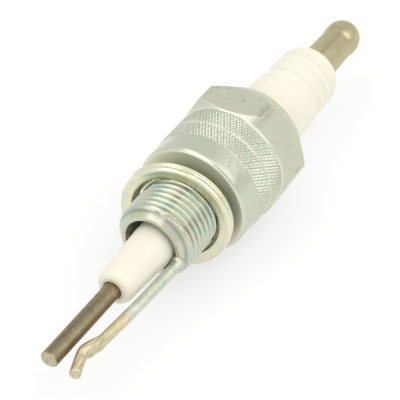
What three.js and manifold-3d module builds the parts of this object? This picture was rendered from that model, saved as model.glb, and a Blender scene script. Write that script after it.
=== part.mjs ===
// Industrial ignition electrode: a one-piece ceramic insulator crimped into a
// threaded steel shell, with a long centre rod, a welded ground wire, a loose
// folded crush gasket and a screw-on bulb terminal.
//
// Millimetres. The plug lies on one flat of its hexagon, so +Z is up, the plug's
// own axis runs along X at half the hexagon's width above the surface, and +X
// points from the electrodes to the terminal. Along the axis every length is
// given from the shell's threaded end face ("s"), positive towards the terminal.
// The group's origin is the middle of the plug's box, on the surface.

import * as THREE from 'three';
import { mergeVertices } from 'three/addons/utils/BufferGeometryUtils.js';
import Module from 'manifold-3d';

// ---------------------------------------------------------------- dimensions
const SIDES = 36;                 // facets round a turned surface

// shell, outside
const THREAD_R = 6.95;            // M14 x 1.25, major radius at the crests
const THREAD_ROOT_R = 6.27;
const PITCH = 1.25;
const THREAD_FROM = 0.75;         // first root
const THREAD_TO = 11.0;
const END_FACE_R = 5.55;          // outer edge of the flat end face
const RELIEF_R = 6.1;             // undercut between thread and seat
const SEAT_S = 13.15;             // sealing seat, faces the thread
const BODY_R = 10.19;
const EDGE_CHAMFER = 0.5;
const KNURL_FROM = 17.6;
const RING_S = 21.35;             // ring between the two knurled bands
const KNURL_TO = 25.0;
const KNURL_R = 10.3;
const HEX_AF = 20.64;             // 13/16 in across flats
const HEX_FROM = 25.3;
const HEX_FRONT_CORNER_S = 26.7;
const HEX_REAR_CORNER_S = 30.1;
const CONE_END_S = 32.9;
const CONE_END_R = 9.35;
const LIP_END_S = 34.8;

// shell, inside
const BORE_R = 4.71;
const RIB_R = 4.2;                // inner rib that the insulator seats on
const RIB_FROM = 6.0;
const RIB_TO = 8.0;
const CORE_BORE_R = 5.2;
const CORE_BORE_FROM = 9.2;
const CAVITY_FROM = 17.6;
const CAVITY_R = 7.6;
const LIP_BORE_R = 6.6;

// insulator
const NOSE_END_S = -12.2;
const NOSE_TIP_R = 3.2;
const NOSE_ROOT_R = 3.8;
const CORE_R = 4.75;
const FLANGE_R = 7.1;
const TOP_S = 54.6;
const FRONT_BORE_R = 1.8;
const REAR_BORE_R = 2.35;
const BORE_STEP_S = 15.9;
const ECCENTRIC = [0, -0.21, -0.14]; // the insulator sits this far off the shell's axis

// centre electrode, seal, stud, terminal
const ROD_R = 1.53;
const ROD_TIP_S = -31.0;
const HEAD_R = 2.05;
const STUD_R = 1.95;
const NUT_FROM = 54.9;
const NUT_END_S = 67.75;

// ground wire
const WIRE_R = 1.0;
const WIRE_ANGLE = 198.83;        // degrees about +X, from +Y towards +Z
const WIRE_PATH = [               // [s, distance from the shell's axis]
  [-0.1, 5.38], [-5, 5.3], [-10, 5.21], [-15, 5.08], [-19.2, 4.95], [-21.4, 4.83],
  [-22.8, 4.6], [-24.2, 4.12], [-25.3, 3.82], [-26.2, 3.84], [-27.3, 4.1], [-28.8, 4.58], [-30.6, 5.2],
];

// gasket, loose on the thread and leaning
const GASKET_S = 8.85;
const GASKET_OUT_R = 9.7;
const GASKET_IN_R = 7.68;
const GASKET_HALF = 1.08;
const GASKET_LEAN = 9.3;         // degrees
const GASKET_LEAN_ANGLE = 354.0;  // way the lean points, about +X from +Y
const GASKET_OFFSET = [0, 0.24, 0.17];

// placing
const AXIS_Z = HEX_AF / 2;
const MID_S = (ROD_TIP_S + NUT_END_S) / 2;

// ------------------------------------------------------------------- helpers
const wasm = await Module();
wasm.setup();

const flatten = (geometry) => {
  const g = geometry.index ? geometry.clone() : geometry.clone();
  for (const name of Object.keys(g.attributes)) if (name !== 'position') g.deleteAttribute(name);
  const merged = mergeVertices(g, 1e-4);
  const p = merged.getAttribute('position');
  const index = merged.getIndex().array;
  const keep = [];
  for (let i = 0; i < index.length; i += 3) {
    const [a, b, c] = [index[i], index[i + 1], index[i + 2]];
    if (a !== b && b !== c && a !== c) keep.push(a, b, c);
  }
  let volume = 0;
  const A = new THREE.Vector3(), B = new THREE.Vector3(), C = new THREE.Vector3();
  for (let i = 0; i < keep.length; i += 3) {
    A.fromBufferAttribute(p, keep[i]);
    B.fromBufferAttribute(p, keep[i + 1]);
    C.fromBufferAttribute(p, keep[i + 2]);
    volume += A.dot(B.cross(C)) / 6;
  }
  if (volume < 0) for (let i = 0; i < keep.length; i += 3) [keep[i], keep[i + 1]] = [keep[i + 1], keep[i]];
  merged.setIndex(keep);
  return merged;
};

// Turns a profile of [s, r] about the X axis.
const turned = (profile, sides = SIDES) => {
  const g = new THREE.LatheGeometry(profile.map(([s, r]) => new THREE.Vector2(r, s)), sides);
  g.rotateZ(-Math.PI / 2);
  return flatten(g);
};

const solid = (geometry) => {
  const g = flatten(geometry);
  return new wasm.Manifold(new wasm.Mesh({
    numProp: 3,
    vertProperties: new Float32Array(g.getAttribute('position').array),
    triVerts: new Uint32Array(g.getIndex().array),
  }));
};

const surface = (manifold) => {
  const m = manifold.getMesh();
  const g = new THREE.BufferGeometry();
  g.setAttribute('position', new THREE.BufferAttribute(new Float32Array(m.vertProperties), 3));
  g.setIndex(new THREE.BufferAttribute(new Uint32Array(m.triVerts), 1));
  return g;
};

const finish = (geometry) => {
  const g = geometry.toNonIndexed();
  g.computeVertexNormals();
  return g;
};

const piece = (name, geometry, color, roughness, metalness) => {
  const mesh = new THREE.Mesh(finish(geometry), new THREE.MeshStandardMaterial({ color, roughness, metalness }));
  mesh.name = name;
  return mesh;
};

// --------------------------------------------------------------------- shell
const shellOutside = [[0, 0], [0, END_FACE_R], [0.58, THREAD_ROOT_R]];
for (let s = THREAD_FROM; s < THREAD_TO - PITCH; s += PITCH) {
  // one V ridge for each pitch
  shellOutside.push([s, THREAD_ROOT_R], [s + PITCH * 0.44, THREAD_R], [s + PITCH * 0.6, THREAD_R]);
}
shellOutside.push(
  [THREAD_TO - 0.25, THREAD_ROOT_R], [THREAD_TO, RELIEF_R],   // the thread runs out
  [SEAT_S, RELIEF_R],
  [SEAT_S, BODY_R - EDGE_CHAMFER], [SEAT_S + EDGE_CHAMFER, BODY_R],
  [KNURL_FROM, BODY_R], [KNURL_FROM + 0.2, KNURL_R],
  [RING_S - 0.35, KNURL_R], [RING_S - 0.3, BODY_R - 0.2], [RING_S + 0.3, BODY_R - 0.2], [RING_S + 0.35, KNURL_R],
  [KNURL_TO, KNURL_R], [HEX_FROM, BODY_R],
  [CONE_END_S, CONE_END_R - 0.02], [CONE_END_S + 0.9, 8.85], [LIP_END_S - 0.2, 7.95], [LIP_END_S, 7.3], [LIP_END_S, 0],
);
const hexR = HEX_AF / Math.sqrt(3);
const hexPrism = new THREE.CylinderGeometry(hexR, hexR, CONE_END_S - HEX_FROM, 6, 1);
hexPrism.rotateZ(-Math.PI / 2);                 // its axis to X, corners left at 0, 60, 120 degrees from Z
hexPrism.rotateX(Math.PI / 6);                  // one flat up, one flat down
hexPrism.translate((HEX_FROM + CONE_END_S) / 2, 0, 0);
const hexTurning = turned([
  [HEX_FROM, 0], [HEX_FROM, BODY_R + 0.02], [HEX_FRONT_CORNER_S, hexR + 0.05],
  [HEX_REAR_CORNER_S, hexR + 0.05], [CONE_END_S, CONE_END_R], [CONE_END_S, 0],
], SIDES);
const shellBore = turned([
  [-1, 0], [-1, BORE_R], [RIB_FROM - 0.5, BORE_R], [RIB_FROM, RIB_R], [RIB_TO, RIB_R],
  [CORE_BORE_FROM, CORE_BORE_R], [15.5, CORE_BORE_R], [CAVITY_FROM, CAVITY_R],
  [33.0, CAVITY_R], [33.7, LIP_BORE_R], [36, LIP_BORE_R], [36, 0],
]);
const shell = surface(
  solid(turned(shellOutside)).add(solid(hexPrism).intersect(solid(hexTurning))).subtract(solid(shellBore)),
);

// ----------------------------------------------------------------- insulator
const insulator = turned([
  [NOSE_END_S, FRONT_BORE_R], [NOSE_END_S, 2.3], [NOSE_END_S + 0.25, 2.75], [NOSE_END_S + 0.9, NOSE_TIP_R],
  [0, NOSE_ROOT_R], [9.03, 3.84], [10.3, CORE_R], [16.0, CORE_R], [18.3, FLANGE_R],
  [25.0, FLANGE_R], [25.4, 6.9], [25.4, 6.1],
  [37, 6.08], [41.5, 6.14], [43.8, 6.04], [45.0, 5.82], [45.6, 5.64], [46.2, 5.68], [47.3, 5.72],
  [48.4, 5.6], [49.4, 5.66], [50.5, 5.54], [51.6, 5.56], [52.5, 5.42], [53.3, 5.12], [53.9, 4.7],
  [54.35, 4.1], [TOP_S, 3.4], [TOP_S, REAR_BORE_R], [BORE_STEP_S, REAR_BORE_R], [BORE_STEP_S, FRONT_BORE_R],
  [NOSE_END_S, FRONT_BORE_R],
], 32);

// The thin washer lies between two parallel cones, of the rib and of the insulator.
const onCone = (along, off) => [RIB_TO + 0.768 * along + 0.64 * off, RIB_R + 0.64 * along - 0.768 * off];
const seatWasher = turned([onCone(0.25, 0.33), onCone(1.2, 0.33), onCone(1.2, 0.65), onCone(0.25, 0.65), onCone(0.25, 0.33)], 24);

// wire rings and powder between the insulator and the shell
const wireRing = (s, r, half, sides = 28) => {
  const ring = [];
  for (let i = 0; i <= 8; i++) {
    const a = (i / 8) * Math.PI * 2;
    ring.push([s + half * Math.cos(a), r + half * Math.sin(a)]);
  }
  ring[8] = ring[0];
  return turned(ring, sides);
};
const frontPackingRing = wireRing(25.85, 6.78, 0.36);
const talc = turned([[26.35, 6.32], [26.35, 7.28], [31.7, 7.28], [31.7, 6.32], [26.35, 6.32]], 28);
const rearPackingRing = wireRing(32.2, 6.78, 0.36);

// ------------------------------------- centre electrode, seal, stud, terminal
const centreElectrode = turned([
  [ROD_TIP_S, 0], [ROD_TIP_S, ROD_R - 0.08], [ROD_TIP_S + 0.1, ROD_R], [BORE_STEP_S + 0.3, ROD_R],
  [BORE_STEP_S + 0.3, HEAD_R], [17.6, HEAD_R], [18.0, HEAD_R - 0.4], [18.0, 0],
], 16);
const glassSeal = turned([[18.3, 0], [18.3, HEAD_R], [26.1, HEAD_R], [26.1, 0]], 16);
const terminalStud = turned([
  [26.4, 0], [26.4, 1.5], [26.8, STUD_R], [33, STUD_R], [33.2, 1.75], [53.6, 1.75], [53.8, STUD_R],
  [63.1, STUD_R], [63.5, 1.55], [63.5, 0],
], 16);
const terminalNut = turned([
  [NUT_FROM, 2.1], [NUT_FROM, 3.1], [55.4, 3.14], [59.5, 3.1], [61.6, 3.03], [62.6, 3.03], [63.5, 3.14], [64.6, 3.18],
  [65.6, 3.04], [66.5, 2.62], [67.2, 1.95], [67.6, 1.1], [NUT_END_S, 0.35], [NUT_END_S, 0], [65.0, 0], [64.1, 2.1], [NUT_FROM, 2.1],
], 28);

// -------------------------------------------------------------- ground wire
const wireRad = THREE.MathUtils.degToRad(WIRE_ANGLE);
const wireCurve = new THREE.CatmullRomCurve3(
  WIRE_PATH.map(([s, r]) => new THREE.Vector3(s, r * Math.cos(wireRad), r * Math.sin(wireRad))), false, 'centripetal');
const wireSection = new THREE.Shape();
for (let i = 0; i < 10; i++) {
  const a = (i / 10) * Math.PI * 2;
  if (i === 0) wireSection.moveTo(WIRE_R, 0);
  else wireSection.lineTo(WIRE_R * Math.cos(a), WIRE_R * Math.sin(a));
}
wireSection.closePath();
const groundElectrode = flatten(new THREE.ExtrudeGeometry(wireSection, { steps: 30, extrudePath: wireCurve, bevelEnabled: false, curveSegments: 1 }));

// -------------------------------------------------------------------- gasket
// Sheet folded into two rolls with a crease round the outside.
const H = GASKET_HALF, RO = GASKET_OUT_R, RI = GASKET_IN_R;
const gasket = turned([
  [-H, RI + 0.42], [-H, RO - 0.55], [-H + 0.22, RO - 0.14], [-H + 0.5, RO], [-0.22, RO - 0.03], [0.02, RO - 0.42], [0.26, RO - 0.05],
  [H - 0.4, RO], [H - 0.12, RO - 0.2], [H, RO - 0.6], [H, RI + 0.45],
  [H - 0.35, RI + 0.08], [0.2, RI], [-0.2, RI], [-H + 0.35, RI + 0.06], [-H, RI + 0.42],
], 36);

// ------------------------------------------------------------------ assembly
const ZINC = 0xc9cbb9, STEEL = 0xb9b9ae, CERAMIC = 0xf6f1de;
const plug = new THREE.Group();
plug.position.set(-MID_S, 0, AXIS_Z);

plug.add(piece('shell', shell, ZINC, 0.4, 0.9));
plug.add(piece('ground_electrode', groundElectrode, 0xc6c0a4, 0.45, 0.85));

const core = new THREE.Group();
core.position.set(...ECCENTRIC);
core.add(piece('insulator', insulator, CERAMIC, 0.35, 0));
core.add(piece('seat_washer', seatWasher, STEEL, 0.5, 0.8));
core.add(piece('front_packing_ring', frontPackingRing, STEEL, 0.5, 0.8));
core.add(piece('talc_packing', talc, 0xe6e2d6, 0.9, 0));
core.add(piece('rear_packing_ring', rearPackingRing, STEEL, 0.5, 0.8));
core.add(piece('centre_electrode', centreElectrode, 0x7d7458, 0.5, 0.7));
core.add(piece('glass_seal', glassSeal, 0x4c4a48, 0.3, 0.1));
core.add(piece('terminal_stud', terminalStud, STEEL, 0.4, 0.9));
core.add(piece('terminal_nut', terminalNut, 0xb9ae86, 0.35, 0.9));
plug.add(core);

const lean = new THREE.Group();
const leanRad = THREE.MathUtils.degToRad(GASKET_LEAN);
const leanAxis = new THREE.Vector3(Math.cos(leanRad),
  Math.sin(leanRad) * Math.cos(THREE.MathUtils.degToRad(GASKET_LEAN_ANGLE)),
  Math.sin(leanRad) * Math.sin(THREE.MathUtils.degToRad(GASKET_LEAN_ANGLE)));
lean.quaternion.setFromUnitVectors(new THREE.Vector3(1, 0, 0), leanAxis);
lean.position.set(GASKET_S + GASKET_OFFSET[0], GASKET_OFFSET[1], GASKET_OFFSET[2]);
lean.add(piece('sealing_gasket', gasket, ZINC, 0.4, 0.85));
plug.add(lean);

const ignitionElectrode = new THREE.Group();
ignitionElectrode.add(plug);

export default ignitionElectrode;
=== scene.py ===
"""Industrial ignition electrode: the looks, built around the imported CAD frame.

Lengths below are millimetres in the plug's own frame: s runs along the plug's
axis from the shell's threaded end face towards the terminal, psi is the angle
about that axis from +Y towards +Z. to_row() turns them into row metres.
"""
import math

import bpy
import numpy as np
from mathutils import Matrix


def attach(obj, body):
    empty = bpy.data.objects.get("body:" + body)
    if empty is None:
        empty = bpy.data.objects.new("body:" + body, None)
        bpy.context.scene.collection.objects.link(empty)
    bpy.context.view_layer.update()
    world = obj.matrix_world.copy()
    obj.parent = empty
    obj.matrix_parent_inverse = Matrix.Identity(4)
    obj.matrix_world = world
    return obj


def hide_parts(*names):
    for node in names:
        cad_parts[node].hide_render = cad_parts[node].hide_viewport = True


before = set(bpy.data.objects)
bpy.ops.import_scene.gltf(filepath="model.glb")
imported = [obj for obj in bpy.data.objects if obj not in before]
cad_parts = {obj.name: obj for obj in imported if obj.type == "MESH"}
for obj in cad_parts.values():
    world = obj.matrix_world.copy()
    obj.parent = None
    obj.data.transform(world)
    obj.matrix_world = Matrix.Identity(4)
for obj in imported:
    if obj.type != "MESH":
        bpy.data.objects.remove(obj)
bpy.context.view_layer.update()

rng = np.random.default_rng(20261118)

MID_S = 18.375          # s of the row frame's origin
AXIS_Z = 10.32          # the axis stands half the hexagon's width above the surface
CORE_Y, CORE_Z = -0.21, -0.14   # the ceramic and all it holds sit this far off the axis
LEAN_Y, LEAN_Z = math.cos(math.radians(205)), math.sin(math.radians(205))     # and lean this way, by a quarter of a degree


# ------------------------------------------------------------------ mesh tools
def to_row(s, y, z):
    """Row coordinates in metres from axial s and offsets from the shell's axis, in millimetres."""
    return np.stack([(s - MID_S) / 1000.0 + 0 * y, y / 1000.0 + 0 * s, (AXIS_Z + z) / 1000.0 + 0 * s], -1)


def smooth_noise(shape, cell, seed, wrap1=True):
    """Value noise on a grid, about -1..1. cell = size in grid steps (rows, columns). Columns wrap round."""
    r = np.random.default_rng(seed)
    n, m = shape
    cn = max(2, int(round(n / cell[0])) + 2)
    cm = max(2, int(round(m / cell[1])))
    g = r.uniform(-1, 1, (cn, cm))
    if wrap1:
        g = np.concatenate([g, g[:, :1]], 1)
    else:
        g = np.concatenate([g, r.uniform(-1, 1, (cn, 1))], 1)
    y = np.linspace(0, cn - 1.001, n)
    x = np.linspace(0, cm, m, endpoint=False)
    y0, x0 = y.astype(int), x.astype(int)
    fy, fx = y - y0, x - x0
    fy, fx = fy * fy * (3 - 2 * fy), fx * fx * (3 - 2 * fx)
    y1 = np.minimum(y0 + 1, cn - 1)
    a = g[y0][:, x0] * (1 - fx) + g[y0][:, x0 + 1] * fx
    b = g[y1][:, x0] * (1 - fx) + g[y1][:, x0 + 1] * fx
    return a * (1 - fy)[:, None] + b * fy[:, None]


def mesh_from_grid(name, P, ring=True, sharp=40.0, attributes=None):
    """P is (rows, columns, 3) in metres. Columns always wrap. ring: rows wrap too, so the body is a closed ring;
    otherwise the first and last rows are closed with a middle vertex."""
    n, m, _ = P.shape
    verts = P.reshape(-1, 3)
    i = np.arange(n if ring else n - 1)[:, None]
    j = np.arange(m)[None, :]
    a = (i % n) * m + j
    b = (i % n) * m + (j + 1) % m
    c = ((i + 1) % n) * m + (j + 1) % m
    d = ((i + 1) % n) * m + j
    quads = np.stack([a, b, c, d], -1).reshape(-1, 4)
    tris = np.zeros((0, 3), int)
    if not ring:
        first, last = P[0].mean(0), P[-1].mean(0)
        k = len(verts)
        verts = np.concatenate([verts, [first, last]])
        jj = np.arange(m)
        tris = np.concatenate([
            np.stack([np.full(m, k), (jj + 1) % m, jj], -1),
            np.stack([np.full(m, k + 1), (n - 1) * m + jj, (n - 1) * m + (jj + 1) % m], -1),
        ])
    v = verts - verts.mean(0)
    q = v[quads]
    vol = (np.einsum("ij,ij->i", q[:, 0], np.cross(q[:, 1], q[:, 2])) + np.einsum("ij,ij->i", q[:, 0], np.cross(q[:, 2], q[:, 3]))).sum()
    if len(tris):
        t = v[tris]
        vol += np.einsum("ij,ij->i", t[:, 0], np.cross(t[:, 1], t[:, 2])).sum()
    if vol < 0:
        quads = quads[:, ::-1]
        tris = tris[:, ::-1]
    mesh = bpy.data.meshes.new(name)
    mesh.vertices.add(len(verts))
    mesh.vertices.foreach_set("co", verts.astype(np.float32).ravel())
    loops = np.concatenate([quads.ravel(), tris.ravel()]).astype(np.int32)
    starts = np.concatenate([np.arange(len(quads)) * 4, len(quads) * 4 + np.arange(len(tris)) * 3]).astype(np.int32)
    mesh.loops.add(len(loops))
    mesh.loops.foreach_set("vertex_index", loops)
    mesh.polygons.add(len(starts))
    mesh.polygons.foreach_set("loop_start", starts)
    mesh.update(calc_edges=True)
    mesh.validate()
    mesh.shade_smooth()
    if sharp:
        mesh.set_sharp_from_angle(angle=math.radians(sharp))
    for key, value in (attributes or {}).items():
        full = np.concatenate([np.asarray(value, float).ravel(), np.zeros(len(verts) - n * m)])
        at = mesh.attributes.new(key, "FLOAT", "POINT")
        at.data.foreach_set("value", full.astype(np.float32))
    obj = bpy.data.objects.new(name, mesh)
    bpy.context.scene.collection.objects.link(obj)
    return obj


def angles(m):
    return np.arange(m) * (2 * math.pi / m)


def clamp(x, a=0.0, b=1.0):
    return np.minimum(np.maximum(x, a), b)


def step(x, a, b):
    t = clamp((x - a) / (b - a))
    return t * t * (3 - 2 * t)


def soft_clamp(x, e):
    """0..1 clamp with rounded ends."""
    return 0.5 * (np.sqrt(x * x + e) - np.sqrt((x - 1) ** 2 + e) + 1)


def soft_min(a, b, e):
    return 0.5 * (a + b - np.sqrt((a - b) ** 2 + e * e))


def soft_max(a, b, e):
    return 0.5 * (a + b + np.sqrt((a - b) ** 2 + e * e))


def spline(points, per):
    """Catmull-Rom through (s, r) points, each span cut into per steps."""
    p = np.array(points, float)
    p = np.concatenate([[2 * p[0] - p[1]], p, [2 * p[-1] - p[-2]]])
    out = []
    for k in range(1, len(p) - 2):
        a, b, c, d = p[k - 1], p[k], p[k + 1], p[k + 2]
        for t in np.arange(per) / per:
            out.append(0.5 * (2 * b + (c - a) * t + (2 * a - 5 * b + 4 * c - d) * t * t + (3 * b - a - 3 * c + d) * t ** 3))
    out.append(p[-2])
    return np.array(out)


def rounded(points, radius, steps=4):
    """A polyline of (s, r) with each inner corner rounded by an arc of about that radius."""
    p = [np.array(q[:2], float) for q in points]
    rad = [q[2] if len(q) > 2 else radius for q in points]
    out = [p[0]]
    for k in range(1, len(p) - 1):
        a, b, c = p[k - 1], p[k], p[k + 1]
        u, v = a - b, c - b
        lu, lv = np.linalg.norm(u), np.linalg.norm(v)
        cut = min(rad[k], lu * 0.45, lv * 0.45)
        if cut < 1e-6:
            out.append(b)
            continue
        q0, q1 = b + u / lu * cut, b + v / lv * cut
        for t in np.linspace(0, 1, steps + 1):
            out.append((1 - t) ** 2 * q0 + 2 * t * (1 - t) * b + t * t * q1)
    out.append(p[-1])
    return np.array(out)


def core_lean(s):
    return 0.10 - 0.0048 * s


def lathe(name, profile, columns, ring=True, off=(0.0, 0.0), radial=None, axial=None, sharp=40.0, attributes=None):
    """A turned body from (s, r) rows; radial and axial are optional (rows, columns) changes in millimetres."""
    prof = np.asarray(profile, float)
    psi = angles(columns)[None, :]
    s = prof[:, :1] + 0 * psi
    r = prof[:, 1:2] + 0 * psi
    if radial is not None:
        r = r + radial
    if axial is not None:
        s = s + axial
    k = core_lean(s) if off != (0.0, 0.0) else 0.0
    P = to_row(s, off[0] + LEAN_Y * k + r * np.cos(psi), off[1] + LEAN_Z * k + r * np.sin(psi))
    return mesh_from_grid(name, P, ring, sharp, attributes)


# --------------------------------------------------------------- material tools
class Nodes:
    """A short way to write a node tree."""

    def __init__(self, name):
        self.mat = bpy.data.materials.new(name)
        self.mat.use_nodes = True
        self.t = self.mat.node_tree
        self.t.nodes.clear()
        self.out = self.t.nodes.new("ShaderNodeOutputMaterial")
        self.bsdf = self.t.nodes.new("ShaderNodeBsdfPrincipled")
        self.t.links.new(self.bsdf.outputs[0], self.out.inputs[0])
        co = self.t.nodes.new("ShaderNodeTexCoord")
        mp = self.t.nodes.new("ShaderNodeMapping")
        mp.inputs["Scale"].default_value = (1000, 1000, 1000)
        self.t.links.new(co.outputs["Object"], mp.inputs[0])
        self.mm = mp.outputs[0]     # position in millimetres, in the row frame

    def put(self, socket, value):
        if isinstance(value, bpy.types.NodeSocket):
            self.t.links.new(value, socket)
        else:
            socket.default_value = value

    def math(self, op, a, b=0.0, c=None, clamp=False):
        n = self.t.nodes.new("ShaderNodeMath")
        n.operation = op
        n.use_clamp = clamp
        self.put(n.inputs[0], a)
        self.put(n.inputs[1], b)
        if c is not None:
            self.put(n.inputs[2], c)
        return n.outputs[0]

    def vec(self, op, a, b=(0, 0, 0)):
        n = self.t.nodes.new("ShaderNodeVectorMath")
        n.operation = op
        self.put(n.inputs[0], a)
        self.put(n.inputs[1], b)
        return n.outputs["Value"] if op in ("LENGTH", "DOT_PRODUCT", "DISTANCE") else n.outputs[0]

    def scaled(self, scale, shift=(0, 0, 0)):
        n = self.t.nodes.new("ShaderNodeMapping")
        self.put(n.inputs[0], self.mm)
        n.inputs["Scale"].default_value = scale
        n.inputs["Location"].default_value = shift
        return n.outputs[0]

    def noise(self, scale, detail=3.0, rough=0.55, at=None, distortion=0.0):
        n = self.t.nodes.new("ShaderNodeTexNoise")
        self.put(n.inputs["Vector"], at or self.mm)
        n.inputs["Scale"].default_value = scale
        n.inputs["Detail"].default_value = detail
        n.inputs["Roughness"].default_value = rough
        n.inputs["Distortion"].default_value = distortion
        return n.outputs["Fac"] if "Fac" in n.outputs else n.outputs[0]

    def voronoi(self, scale, at=None, feature="F1"):
        n = self.t.nodes.new("ShaderNodeTexVoronoi")
        n.feature = feature
        self.put(n.inputs["Vector"], at or self.mm)
        n.inputs["Scale"].default_value = scale
        return n.outputs["Distance"], n.outputs["Color"]

    def span(self, value, a, b, lo=0.0, hi=1.0, smooth=True):
        n = self.t.nodes.new("ShaderNodeMapRange")
        n.interpolation_type = "SMOOTHSTEP" if smooth else "LINEAR"
        self.put(n.inputs[0], value)
        for k, v in zip((1, 2, 3, 4), (a, b, lo, hi)):
            n.inputs[k].default_value = v
        return n.outputs[0]

    def mix(self, fac, a, b, blend="MIX"):
        n = self.t.nodes.new("ShaderNodeMix")
        n.data_type = "RGBA"
        n.blend_type = blend
        self.put(n.inputs[0], fac)
        self.put(n.inputs[6], a)
        self.put(n.inputs[7], b)
        return n.outputs[2]

    def ramp(self, fac, stops):
        n = self.t.nodes.new("ShaderNodeValToRGB")
        cr = n.color_ramp
        while len(cr.elements) < len(stops):
            cr.elements.new(0.5)
        for e, (p, c) in zip(cr.elements, stops):
            e.position = p
            e.color = (*c, 1)
        self.put(n.inputs[0], fac)
        return n.outputs[0]

    def attr(self, name):
        n = self.t.nodes.new("ShaderNodeAttribute")
        n.attribute_name = name
        return n.outputs["Fac"]

    def axial(self):
        """s in millimetres."""
        n = self.t.nodes.new("ShaderNodeSeparateXYZ")
        self.put(n.inputs[0], self.mm)
        return self.math("ADD", n.outputs[0], MID_S)

    def radius(self, y=0.0, z=AXIS_Z):
        """Distance from an axis along X, in millimetres."""
        n = self.t.nodes.new("ShaderNodeVectorMath")
        n.operation = "MULTIPLY"
        self.put(n.inputs[0], self.vec("SUBTRACT", self.mm, (0, y, z)))
        n.inputs[1].default_value = (0, 1, 1)
        return self.vec("LENGTH", n.outputs[0])

    def bump(self, height, strength, distance, normal=None):
        n = self.t.nodes.new("ShaderNodeBump")
        n.inputs["Strength"].default_value = strength
        n.inputs["Distance"].default_value = distance / 1000.0
        self.put(n.inputs["Height"], height)
        if normal is not None:
            self.put(n.inputs["Normal"], normal)
        return n.outputs[0]

    def surface(self, color, roughness, metallic, normal=None, **constants):
        b = self.bsdf
        self.put(b.inputs["Base Color"], color if not isinstance(color, tuple) else (*color, 1))
        self.put(b.inputs["Roughness"], roughness)
        self.put(b.inputs["Metallic"], metallic)
        if normal is not None:
            self.put(b.inputs["Normal"], normal)
        for k, v in constants.items():
            b.inputs[k.replace("_", " ")].default_value = v
        return self.mat


def rgb(r, g, b):
    """Linear colour from sRGB 0..255."""
    out = []
    for c in (r, g, b):
        c = c / 255.0
        out.append(c / 12.92 if c <= 0.04045 else ((c + 0.055) / 1.055) ** 2.4)
    return tuple(out)


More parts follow.
